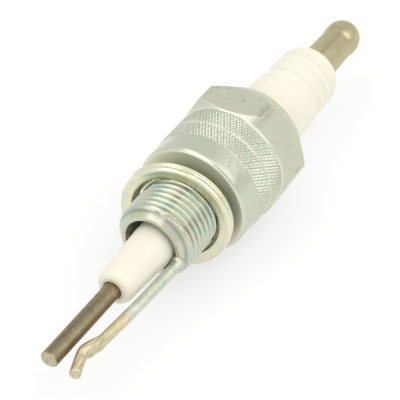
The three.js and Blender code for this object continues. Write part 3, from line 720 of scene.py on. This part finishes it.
# -------------------------------------------------------------------------- rod
def build_rod():
    cols = 96
    tip = [(-30.96, 0.35), (-30.96, 0.7), (-30.96, 1.05), (-30.96, 1.32), (-30.93, 1.45), (-30.86, 1.515), (-30.7, 1.53)]
    shaft = [(s, 1.53) for s in np.concatenate([np.linspace(-30.5, -12.4, 150), np.linspace(-12.0, 16.0, 14)])]
    head = rounded([(16.0, 1.53), (16.2, 1.53, 0.05), (16.2, 2.05, 0.1), (17.6, 2.05, 0.2), (18.0, 1.65, 0.1), (18.0, 0.8), (18.0, 0.3)], 0.08, 3)
    prof = np.concatenate([tip, shaft, head[1:]])
    n = len(prof)
    psi = angles(cols)[None, :]
    s = prof[:, :1]
    seen = 1 - step(s, -12.5, -11.5)
    # drawn and scraped: long shallow ridges along the rod, scaling, and a burr at the cut
    ridge = np.zeros((1, cols))
    r0 = np.random.default_rng(61)
    for k, a in zip((3, 5, 8, 13, 21), (0.012, 0.010, 0.008, 0.006, 0.004)):
        ridge = ridge + a * np.cos(k * psi + r0.uniform(0, 6.28))
    drift = smooth_noise((n, cols), (60, 6), 62) * 0.014 + smooth_noise((n, cols), (12, 8), 63) * 0.010 + smooth_noise((n, cols), (3, 4), 64) * 0.004
    near = np.exp(-((s + 30.9) / 0.25) ** 2)
    burr = near * (0.05 * smooth_noise((1, cols), (1, 11), 65)) * (prof[:, 1:] > 1.2)
    rad = (ridge + drift) * seen * step(prof[:, 1:], 0.9, 1.4) + burr
    rad = np.minimum(rad, 0.03)
    # the cut face slopes and has a small step
    tilt = (0.16 * np.cos(psi - math.radians(250)) + 0.04 * smooth_noise((n, cols), (3, 9), 66))
    axial = np.where(s < -30.6, tilt * clamp(prof[:, 1:] / 1.47) * step(-s, 30.6, 30.9), 0.0) + 0.0
    axial = np.maximum(axial, -0.03)
    o = lathe("electrode_rod", prof, cols, False, (CORE_Y, CORE_Z), rad, axial, 45)
    m = Nodes("rod_oxide")
    sx = m.axial()
    streak_at = m.scaled((0.07, 0.9, 0.9), (0, 1, 2))
    streak = m.noise(1.0, 3.0, 0.5, at=streak_at)
    streak2 = m.noise(2.2, 4.0, 0.6, at=m.scaled((0.22, 1.1, 1.1), (3, 5, 2)))
    blot = m.noise(1.4, 4.0, 0.6)
    color = m.ramp(m.span(m.math("ADD", m.math("MULTIPLY", streak, 0.55), m.math("MULTIPLY", blot, 0.45)), 0.36, 0.64, smooth=False), [
        (0.0, rgb(112, 102, 77)), (0.4, rgb(136, 126, 97)), (0.7, rgb(147, 137, 107)), (1.0, rgb(164, 156, 128))])
    color = m.mix(m.span(streak2, 0.60, 0.74, 0, 0.6), color, (*rgb(180, 178, 156), 1))
    # heat-browned along one side; painted shade along the upper side
    sep = m.t.nodes.new("ShaderNodeSeparateXYZ")
    m.put(sep.inputs[0], m.vec("SUBTRACT", m.mm, (0, CORE_Y + 0.21 * LEAN_Y, AXIS_Z + CORE_Z + 0.21 * LEAN_Z)))
    toward = lambda deg: m.math("ADD", m.math("MULTIPLY", sep.outputs[1], math.cos(math.radians(deg)) / 1.47), m.math("MULTIPLY", sep.outputs[2], math.sin(math.radians(deg)) / 1.47))
    wander = m.math("MULTIPLY", m.math("SUBTRACT", m.noise(0.6, 3.0, 0.5), 0.5), 0.25)
    brown = m.span(m.math("ADD", toward(206), wander), 0.52, 0.86)
    color = m.mix(m.math("MULTIPLY", brown, 0.75), color, (*rgb(116, 90, 50), 1))
    # painted shade along the upper side
    painted_upper_shade = m.span(m.math("ADD", toward(106), wander), 0.90, 1.0)
    color = m.mix(m.math("MULTIPLY", painted_upper_shade, 0.35), color, (*rgb(112, 104, 82), 1))
    face = m.math("MULTIPLY", m.span(sx, -30.72, -30.82), m.span(m.radius(CORE_Y + 0.248 * LEAN_Y, AXIS_Z + CORE_Z + 0.248 * LEAN_Z), 1.56, 1.42))
    cut = m.noise(1.9, 4.0, 0.65, at=m.scaled((1, 1.0, 1.6), (2, 7, 4)))
    color = m.mix(face, color, m.ramp(m.span(cut, 0.34, 0.66, smooth=False), [(0.0, rgb(158, 150, 120)), (0.45, rgb(188, 182, 152)), (1.0, rgb(204, 200, 172))]))
    hid = m.span(m.math("ADD", sx, m.math("MULTIPLY", wander, 4.0)), -14.2, -12.2)
    color = m.mix(m.math("MULTIPLY", hid, 0.45), color, (*rgb(136, 108, 66), 1))
    rough = m.span(streak, 0.3, 0.7, 0.40, 0.58)
    nb = m.bump(m.noise(3.0, 4.0, 0.6, at=m.scaled((0.25, 2, 2))), 0.5, 0.02)
    nb = m.bump(m.noise(9.0, 3.0, 0.6), 0.4, 0.010, nb)
    o.data.materials.append(m.surface(color, rough, 0.75, nb))
    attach(o, "plug")
    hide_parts("centre_electrode")
    return o


build_rod()

# ------------------------------------------------------------------ ground wire
WIRE_ANGLE = math.radians(198.83)                    # about +X, from +Y towards +Z
WIRE_PATH = [(0.42, 5.50), (-0.5, 5.49), (-5, 5.42), (-10, 5.33), (-15, 5.15), (-19.2, 4.95), (-21.4, 4.83), (-22.8, 4.6), (-24.2, 4.12),
             (-25.3, 3.82), (-26.2, 3.84), (-27.3, 4.1), (-28.8, 4.58), (-30.6, 5.2)]


def build_wire():
    cols = 56
    line = spline(WIRE_PATH, 14)
    # even spacing along the line
    seg = np.linalg.norm(np.diff(line, axis=0), axis=1)
    dist = np.concatenate([[0], np.cumsum(seg)])
    total = dist[-1]
    t = np.concatenate([np.linspace(0, 2.6, 30)[:-1], np.linspace(2.6, total, 170)])
    cs = np.interp(t, dist, line[:, 0])
    cr = np.interp(t, dist, line[:, 1])
    ds, dr = np.gradient(cs, t), np.gradient(cr, t)
    k = np.ones(5) / 5
    pad = lambda q: np.convolve(np.concatenate([[q[0]] * 2, q, [q[-1]] * 2]), k, "valid")
    ds, dr = pad(ds), pad(dr)
    ln = np.hypot(ds, dr)
    ds, dr = ds / ln, dr / ln
    y0, z0 = math.cos(WIRE_ANGLE), math.sin(WIRE_ANGLE)
    centre = np.stack([cs, cr * y0, cr * z0], -1)
    out = np.stack([-dr, ds * y0, ds * z0], -1)          # in the bend's plane, away from the axis
    out = out * np.sign((out * np.array([0, y0, z0])).sum(-1, keepdims=True))
    side = np.broadcast_to(np.array([0, -z0, y0]), out.shape)
    centre = centre + side * (0.07 * step(-cs, 21.4, 23.4) * (1 - step(-cs, 26.0, 27.4)))[:, None]
    psi = angles(cols)[None, :]
    # flattened where the tool bent it
    bend = step(-cs, 21.6, 23.4) * (1 - step(-cs, 26.0, 27.2))
    w_side = 0.96 + 0.38 * bend + 0.14 * step(-cs, 26.8, 28.2)
    w_out = 0.96 + 0.06 * bend
    n = len(t)
    rough = 0.010 * smooth_noise((n, cols), (12, 10), 71) + 0.006 * smooth_noise((n, cols), (4, 5), 72)
    base = np.exp(-((t - 0.40) / 0.42) ** 2)[:, None]
    lumps = base * (0.26 + 0.16 * smooth_noise((n, cols), (5, 12), 73)) + np.exp(-((t - 1.15) / 0.4) ** 2)[:, None] * 0.07 * smooth_noise((n, cols), (3, 9), 74)
    # the two dents of the forming tool, outside the first bend and inside the second
    dent = (0.20 * np.exp(-((cs[:, None] + 26.25) / 0.34) ** 2) - 0.16 * np.exp(-((cs[:, None] + 24.9) / 0.8) ** 2)) * clamp(np.cos(psi)) ** 2
    radius = 1.0 + rough + lumps - dent + (0.24 * step(-cs, 21.4, 23.6) * (1 - step(-cs, 25.6, 26.1)))[:, None] * clamp(np.cos(psi))
    # end: cut nearly square, with a small rounded edge
    end = total - t
    radius = radius * np.where(end < 0.14, np.sqrt(clamp(1 - ((0.14 - end[:]) / 0.14) ** 2 * 0.16)), 1)[:, None]
    P3 = (centre[:, None, :] + (radius * w_out[:, None] * np.cos(psi))[..., None] * out[:, None, :]
          + (radius * w_side[:, None] * np.sin(psi))[..., None] * side[:, None, :])
    # cap rows at both ends
    first = [centre[0] + (P3[0] - centre[0]) * f for f in (0.3, 0.62)]
    last = [centre[-1] + (P3[-1] - centre[-1]) * f for f in (0.88, 0.62, 0.3)]
    rr = np.random.default_rng(75)
    cap = []
    tangent = np.array([ds[-1], dr[-1] * y0, dr[-1] * z0])
    for f, row in zip((0.88, 0.62, 0.3), last):
        cap.append(row + tangent * 0.015 * (1 - f))
    P3 = np.concatenate([np.array(first), P3, np.array(cap)])
    # nothing reaches past the CAD wire's tip
    P3[..., 0] = np.maximum(P3[..., 0], -30.94)
    # the weld's foot goes a little way into the end face
    P = to_row(P3[..., 0], P3[..., 1], P3[..., 2])
    o = mesh_from_grid("ground_wire", P, False, 42)
    m = Nodes("wire_two_tone")
    sx = m.axial()
    edge_n = m.math("MULTIPLY", m.math("SUBTRACT", m.noise(1.6, 3.0, 0.6), 0.5), 1.6)
    plated = m.span(m.math("ADD", sx, edge_n), -15.55, -15.15)
    streak = m.noise(1.0, 4.0, 0.6, at=m.scaled((0.25, 2.4, 2.4), (1, 4, 2)))
    bare = m.ramp(m.span(streak, 0.32, 0.68, smooth=False), [(0.0, rgb(176, 167, 134)), (0.4, rgb(200, 192, 158)), (0.75, rgb(214, 206, 172)), (1.0, rgb(230, 222, 190))])
    warm = m.span(m.noise(0.6, 3.0, 0.5), 0.5, 0.7, 0, 0.35)
    bare = m.mix(warm, bare, (*rgb(206, 186, 142), 1))
    big = m.noise(0.5, 3.0, 0.5)
    coat = m.ramp(m.span(big, 0.35, 0.65, smooth=False), [(0.0, rgb(193, 199, 181)), (0.5, rgb(207, 211, 192)), (1.0, rgb(219, 219, 201))])
    coat = m.mix(m.span(m.noise(5.0, 4.0, 0.6), 0.35, 0.75, 0, 0.3), coat, (*rgb(160, 164, 148), 1))
    color = m.mix(plated, bare, coat)
    dark, _ = m.voronoi(0.7, at=m.scaled((0.4, 1, 1), (2, 2, 9)))
    color = m.mix(m.span(dark, 0.03, 0.08, 0.45, 0), color, (*rgb(120, 112, 84), 1))
    rough_v = m.math("ADD", m.span(streak, 0.3, 0.7, 0.44, 0.56), m.math("MULTIPLY", plated, -0.06))
    nb = m.bump(m.noise(3.0, 4.0, 0.6, at=m.scaled((0.3, 2, 2))), 0.4, 0.02)
    nb = m.bump(m.noise(8.0, 3.0, 0.6), 0.35, 0.010, nb)
    o.data.materials.append(m.surface(color, rough_v, 0.9, nb))
    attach(o, "plug")
    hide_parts("ground_electrode")
    return o


build_wire()


# --------------------------------------------------------------------- terminal
def build_terminal():
    cols = 144
    skin = spline([(54.98, 3.02), (55.08, 3.10), (55.5, 3.14), (57.6, 3.13), (59.5, 3.10), (60.8, 3.06), (61.6, 3.02), (62.2, 3.00), (62.75, 3.02), (63.2, 3.12), (63.8, 3.18), (64.6, 3.185),
                   (65.1, 3.13), (65.6, 3.02), (66.05, 2.84), (66.5, 2.57), (66.9, 2.22), (67.25, 1.78), (67.5, 1.28), (67.65, 0.80), (67.72, 0.36)], 4)
    inner = rounded([(54.98, 3.02), (54.92, 2.9, 0.03), (54.92, 2.3, 0.05), (55.15, 2.1, 0.1), (58, 2.1), (60, 2.1), (62, 2.1), (64.1, 2.1, 0.1), (65.0, 0.6), (65.02, 0.2)], 0.05, 3)
    prof = np.concatenate([inner[::-1][:-1], skin])
    n = len(prof)
    out = (np.arange(n) >= len(inner) - 1)[:, None]
    rad = 0.006 * smooth_noise((n, cols), (10, 30), 81) * out
    around = np.degrees(angles(cols))[None, :] + 0 * rad
    # painted dark reflection: a streak along one side of the cap
    dark_reflection_streak = np.exp(-((around - 104 + 5 * smooth_noise((n, cols), (30, 40), 82)) / 9) ** 2) * step(prof[:, 0], 54.5, 56.0)[:, None] * (1 - 0.5 * step(prof[:, 0], 62.5, 65.0))[:, None]
    o = lathe("terminal_cap", prof, cols, False, (CORE_Y, CORE_Z), rad, None, 40, {"dark_reflection_streak": clamp(dark_reflection_streak)})
    m = Nodes("terminal_nickel")
    sx = m.axial()
    cloud = m.noise(0.5, 3.0, 0.55)
    color = m.ramp(m.span(cloud, 0.3, 0.7, smooth=False), [(0.0, rgb(180, 171, 133)), (0.5, rgb(187, 179, 142)), (1.0, rgb(195, 187, 153))])
    haze = m.noise(2.4, 4.0, 0.65, at=m.scaled((0.6, 1.2, 1.2), (4, 1, 2)))
    color = m.mix(m.span(haze, 0.54, 0.74, 0, 0.20), color, (*rgb(174, 162, 122), 1))
    # darker towards the foot, where the cap meets the ceramic
    foot = m.span(sx, 55.9, 55.0, 0, 0.35)
    color = m.mix(foot, color, (*rgb(150, 138, 98), 1))
    color = m.mix(m.math("MULTIPLY", m.attr("dark_reflection_streak"), 0.42), color, (*rgb(150, 142, 108), 1))      # painted dark reflection: a darker streak along one side
    rough = m.span(m.noise(1.8, 3.0, 0.55), 0.3, 0.7, 0.30, 0.37)
    line = m.math("SINE", m.math("ADD", m.math("MULTIPLY", sx, 2 * math.pi / 0.13), m.math("MULTIPLY", m.noise(0.7, 2, 0.5), 6.0)))
    nb = m.bump(line, 0.06, 0.003)
    nb = m.bump(m.noise(5.0, 2.0, 0.5), 0.12, 0.006, nb)
    o.data.materials.append(m.surface(color, rough, 1.0, nb))
    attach(o, "terminal")
    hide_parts("terminal_nut")


build_terminal()


def build_stud():
    """The threaded stud under the terminal, M4: it shows only with the terminal off."""
    cols = 72
    lower = [(26.4, 0.5), (26.4, 1.3), (26.45, 1.5), (26.8, 1.93), (26.95, 1.95), (33.0, 1.95), (33.2, 1.75), (40, 1.75), (48, 1.75), (53.4, 1.75), (53.75, 1.75)]
    thread = np.arange(53.85, 63.1, 0.07)
    tip = [(63.2, 1.72), (63.4, 1.58), (63.5, 1.42), (63.5, 0.9), (63.5, 0.4)]
    rows_s = np.concatenate([[p[0] for p in lower], thread, [p[0] for p in tip]])
    rows_r = np.concatenate([[p[1] for p in lower], np.full(len(thread), 1.95), [p[1] for p in tip]])
    psi = angles(cols)[None, :]
    s = rows_s[:, None] + 0 * psi
    r = rows_r[:, None] + 0 * psi
    i0, i1 = len(lower), len(lower) + len(thread)
    st = s[i0:i1]
    turn = (st - 55.0) / 0.7 - psi / (2 * math.pi)
    u = turn - np.floor(turn)
    d = np.minimum(u, 1 - u) * 0.7
    h = soft_clamp((d - 0.06) / 0.24, 0.02)
    rt = 1.56 + 0.37 * h
    rt = np.minimum(rt, 1.62 + 0.9 * (63.35 - st))
    run = step(st, 53.85, 54.5)
    r[i0:i1] = rt * run + (1 - run) * 1.75
    P = to_row(s, CORE_Y + LEAN_Y * core_lean(s) + r * np.cos(psi), CORE_Z + LEAN_Z * core_lean(s) + r * np.sin(psi))
    o = mesh_from_grid("terminal_stud_threaded", P, False, 45)
    m = Nodes("stud_steel")
    grain = m.noise(5.0, 4.0, 0.6)
    color = m.ramp(m.span(grain, 0.3, 0.7, smooth=False), [(0.0, rgb(150, 150, 138)), (0.5, rgb(182, 182, 168)), (1.0, rgb(206, 205, 190))])
    oil = m.span(m.noise(0.8, 3.0, 0.5), 0.5, 0.7, 0, 0.35)
    color = m.mix(oil, color, (*rgb(150, 138, 108), 1))
    rough = m.span(m.noise(2.0, 3.0, 0.5), 0.3, 0.7, 0.28, 0.42)
    nb = m.bump(m.noise(9.0, 3.0, 0.6), 0.3, 0.008)
    o.data.materials.append(m.surface(color, rough, 1.0, nb))
    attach(o, "plug")
    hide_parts("terminal_stud")


build_stud()


# ------------------------------------------------- CAD nodes kept, inside the shell
def carried(node, material):
    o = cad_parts[node]
    o.data.materials.clear()
    o.data.materials.append(material)


def dull_steel(name, dark, light, rough, shift):
    m = Nodes(name)
    g = m.noise(3.5, 4.0, 0.6, at=m.scaled((1, 1, 1), (shift, 2, 3)))
    color = m.ramp(m.span(g, 0.3, 0.7, smooth=False), [(0.0, rgb(*dark)), (1.0, rgb(*light))])
    ring = m.math("SINE", m.math("MULTIPLY", m.radius(CORE_Y, AXIS_Z + CORE_Z), 2 * math.pi / 0.12))
    nb = m.bump(ring, 0.15, 0.004)
    nb = m.bump(m.noise(8.0, 3.0, 0.6), 0.3, 0.008, nb)
    return m.surface(color, m.span(g, 0.3, 0.7, rough - 0.06, rough + 0.08), 0.95, nb)


carried("seat_washer", dull_steel("washer_steel", (140, 140, 128), (196, 196, 180), 0.36, 1.0))
carried("front_packing_ring", dull_steel("ring_steel_front", (120, 120, 112), (180, 178, 166), 0.42, 5.0))
carried("rear_packing_ring", dull_steel("ring_steel_rear", (120, 120, 112), (180, 178, 166), 0.42, 8.0))
powder = Nodes("talc_powder")
pg = powder.noise(4.0, 5.0, 0.7)
carried("talc_packing", powder.surface(
    powder.ramp(powder.span(pg, 0.3, 0.7, smooth=False), [(0.0, rgb(206, 200, 184)), (1.0, rgb(236, 232, 220))]),
    powder.span(pg, 0.3, 0.7, 0.85, 0.97), 0.0, powder.bump(powder.noise(7.0, 5.0, 0.7), 0.6, 0.04)))
glass = Nodes("conductive_glass")
gg = glass.noise(2.5, 5.0, 0.65)
carried("glass_seal", glass.surface(
    glass.ramp(glass.span(gg, 0.35, 0.65, smooth=False), [(0.0, rgb(48, 46, 44)), (0.7, rgb(84, 82, 78)), (1.0, rgb(120, 116, 104))]),
    glass.span(gg, 0.3, 0.7, 0.18, 0.34), 0.0, glass.bump(gg, 0.3, 0.02), Specular_IOR_Level=0.6))


# ------------------------------------------------------------ floor, light, camera
def build_floor():
    mesh = bpy.data.meshes.new("floor")
    size = 1.5
    mesh.from_pydata([(-size, -size, 0), (size, -size, 0), (size, size, 0), (-size, size, 0)], [], [(0, 1, 2, 3)])
    o = bpy.data.objects.new("floor", mesh)
    bpy.context.scene.collection.objects.link(o)
    m = bpy.data.materials.new("floor_white")
    m.use_nodes = True
    b = m.node_tree.nodes["Principled BSDF"]
    b.inputs["Base Color"].default_value = (0.36, 0.36, 0.36, 1)
    b.inputs["Roughness"].default_value = 0.9
    b.inputs["Emission Color"].default_value = (1, 1, 1, 1)
    b.inputs["Emission Strength"].default_value = 0.60
    b.inputs["Specular IOR Level"].default_value = 0.0
    mesh.materials.append(m)


build_floor()

world = bpy.data.worlds.new("studio")
world.use_nodes = True
bg = world.node_tree.nodes["Background"]
bg.inputs[0].default_value = (1, 1, 1, 1)
bg.inputs[1].default_value = 0.90
bpy.context.scene.world = world


def softbox(name, azimuth, elevation, distance, size, power, aim=(0, 0, 0.01)):
    """A square soft light; azimuth is the way it lies from the object, from +X towards +Y."""
    light = bpy.data.lights.new(name, "AREA")
    light.shape = "RECTANGLE"
    light.size, light.size_y = size
    light.energy = power
    o = bpy.data.objects.new(name, light)
    a, e = math.radians(azimuth), math.radians(elevation)
    d = np.array([math.cos(e) * math.cos(a), math.cos(e) * math.sin(a), math.sin(e)])
    pos = np.array(aim) + distance * d
    z = d
    x = np.cross([0, 0, 1.0], z)
    x = x / max(np.linalg.norm(x), 1e-9) if np.linalg.norm(x) > 1e-6 else np.array([1.0, 0, 0])
    y = np.cross(z, x)
    o.matrix_world = Matrix([[x[0], y[0], z[0], pos[0]], [x[1], y[1], z[1], pos[1]], [x[2], y[2], z[2], pos[2]], [0, 0, 0, 1]])
    bpy.context.scene.collection.objects.link(o)
    return o


def watts(radiance, size):
    return radiance * math.pi * size[0] * size[1]


for name, azimuth, elevation, side, radiance in (
    ("light_left", 164, 36, 0.48, 0.70),
    ("light_top", 112, 68, 0.32, 1.10),
    ("light_right", -78, 50, 0.62, 1.08),
):
    softbox(name, azimuth, elevation, 0.6, (side, side), watts(radiance, (side, side)))

scene = bpy.context.scene
cam_data = bpy.data.cameras.new("camera")
cam_data.sensor_fit = "HORIZONTAL"
cam_data.sensor_width = 36.0
cam_data.lens = 3008.69 / 400 * 36.0
cam_data.clip_start = 0.02
cam_data.clip_end = 10
cam = bpy.data.objects.new("camera", cam_data)
scene.collection.objects.link(cam)
right = np.array([0.51126, -0.85843, -0.04134])
up = np.array([0.55599, 0.29370, 0.77757])
back = np.array([-0.65535, -0.42052, 0.62744])
at = np.array([-0.329934, -0.209982, 0.321891])
right /= np.linalg.norm(right)
up = up - right * (up @ right)
up /= np.linalg.norm(up)
back = np.cross(right, up)
cam.matrix_world = Matrix([[right[k], up[k], back[k], at[k]] for k in range(3)] + [[0, 0, 0, 1]])
scene.camera = cam

scene.view_settings.view_transform = "Standard"
scene.view_settings.look = "None"
scene.view_settings.exposure = 0.0
scene.view_settings.gamma = 1.0

bpy.context.view_layer.update()
